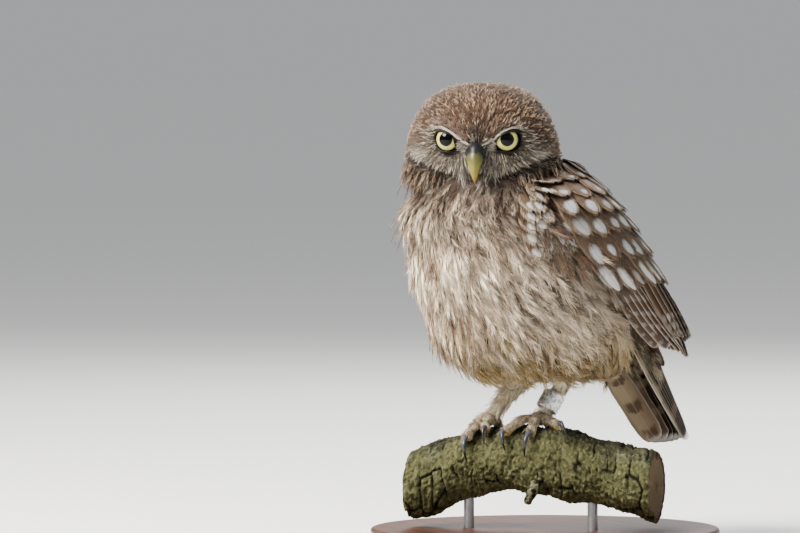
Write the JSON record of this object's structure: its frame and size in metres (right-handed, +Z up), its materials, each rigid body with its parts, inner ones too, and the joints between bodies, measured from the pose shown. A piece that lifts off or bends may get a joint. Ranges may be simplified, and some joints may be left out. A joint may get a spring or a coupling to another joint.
{
  "type": "little owl display model",
  "caption": "Fledged young little owl standing on a cut length of mossy branch, its head turned to its left, on a round wooden display base.",
  "frame": {"origin": "middle of the round base's underside", "axes": "+Z up, the owl's breast faces -Y and its left wing is on +X"},
  "size_m": [0.164, 0.164, 0.2152],
  "materials": {
    "down": "soft cream and brown down",
    "down_head": "short dense brown down",
    "shank_down": "short buff bristle feathers",
    "toe_skin": "scaly skin with sparse bristles",
    "vanes": "brown vaned feathers with white spots",
    "iris": "glossy pale yellow with a black pupil",
    "bill_horn": "smooth yellow-green horn",
    "talon_horn": "polished dark grey horn",
    "ring_metal": "worn bare metal",
    "bark": "rough mossy bark",
    "base_wood": "dark stained satin wood",
    "rod_steel": "brushed steel rod"
  },
  "bodies": {
    "root": {"torso": "down", "neck": "down", "head": "down_head", "leg_left": "shank_down", "leg_right": "shank_down", "foot_left": "toe_skin", "foot_right": "toe_skin", "wing_left": "vanes", "wing_right": "vanes", "tail": "vanes", "eye_left": "iris", "eye_right": "iris", "bill_upper": "bill_horn", "bill_lower": "bill_horn", "leg_ring": "ring_metal", "perch": "bark", "stand_base": "base_wood", "stand_rod_1": "rod_steel", "stand_rod_2": "rod_steel", "claw_left_inner": "talon_horn", "claw_left_middle": "talon_horn", "claw_left_outer": "talon_horn", "claw_left_back": "talon_horn", "claw_right_inner": "talon_horn", "claw_right_middle": "talon_horn", "claw_right_outer": "talon_horn", "claw_right_back": "talon_horn"}
  },
  "joints": []
}
